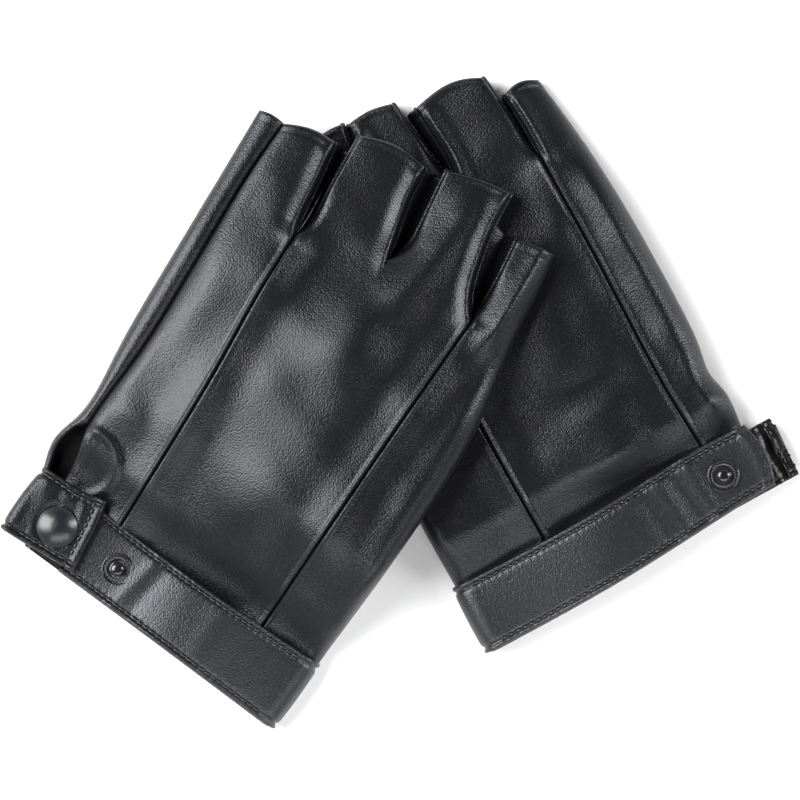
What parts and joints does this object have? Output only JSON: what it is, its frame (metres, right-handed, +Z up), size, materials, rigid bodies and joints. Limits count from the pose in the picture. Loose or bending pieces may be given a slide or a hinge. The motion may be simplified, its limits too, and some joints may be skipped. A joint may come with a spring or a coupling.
{
  "type": "pair of fingerless gloves",
  "caption": "Pair of black leather fingerless gloves with snap-tab cuffs, the right glove lying over the left on a table.",
  "frame": {"origin": "middle of the pair's bounding box, on the table", "axes": "+Z up from the table; +X and +Y lie on the table, +Y towards the fingertips' side of the pair, with the right-hand glove's cuff at -X and the left-hand glove's cuff at +X"},
  "size_m": [0.237, 0.1934, 0.0279],
  "materials": {
    "leather": "fine-grained, semi-gloss",
    "facing": "smooth, glossy coated back",
    "lining": "thin brushed tricot",
    "thread": "bonded polyester thread, semi-gloss",
    "snap_metal": "gloss black lacquer"
  },
  "bodies": {
    "lower_tab": {"lower_snap_tab": "leather", "lower_tab_facing": "facing", "lower_tab_stitches": "thread", "lower_snap_cap": "snap_metal", "lower_snap_socket": "snap_metal"},
    "lower_glove": {"lower_back_centre_panel": "leather", "lower_back_index_panel": "leather", "lower_back_lining": "lining", "lower_back_little_panel": "leather", "lower_cuff_band": "leather", "lower_cuff_facing": "facing", "lower_cuff_hem_stitches": "thread", "lower_cuff_top_stitches": "thread", "lower_fourchette_index_middle": "leather", "lower_fourchette_middle_ring": "leather", "lower_fourchette_ring_little": "leather", "lower_palm_lining": "lining", "lower_palm_panel": "leather", "lower_snap_post": "snap_metal", "lower_snap_stud": "snap_metal", "lower_thumb_panel": "leather"},
    "upper_tab": {"upper_snap_tab": "leather", "upper_tab_facing": "facing", "upper_tab_stitches": "thread", "upper_snap_cap": "snap_metal", "upper_snap_socket": "snap_metal"},
    "upper_glove": {"upper_back_centre_panel": "leather", "upper_back_index_panel": "leather", "upper_back_lining": "lining", "upper_back_little_panel": "leather", "upper_cuff_band": "leather", "upper_cuff_facing": "facing", "upper_cuff_hem_stitches": "thread", "upper_cuff_top_stitches": "thread", "upper_fourchette_index_middle": "leather", "upper_fourchette_middle_ring": "leather", "upper_fourchette_ring_little": "leather", "upper_palm_lining": "lining", "upper_palm_panel": "leather", "upper_snap_post": "snap_metal", "upper_snap_stud": "snap_metal", "upper_thumb_panel": "leather"}
  },
  "joints": [
    {"name": "upper_glove_lift", "type": "slide", "parent": "lower_glove", "child": "upper_glove", "axis": [0, 0, 1], "range_m": [0, 0.06]},
    {"name": "upper_tab_hinge", "type": "hinge", "parent": "upper_glove", "child": "upper_tab", "pos_m": [-0.11213, -0.02782, 0.00635], "axis": [-0.5892, -0.808, 0], "range_deg": [0, 150]},
    {"name": "lower_tab_draw", "type": "slide", "parent": "lower_glove", "child": "lower_tab", "axis": [0.8858, 0.4641, 0], "range_m": [0, 0.018]}
  ]
}
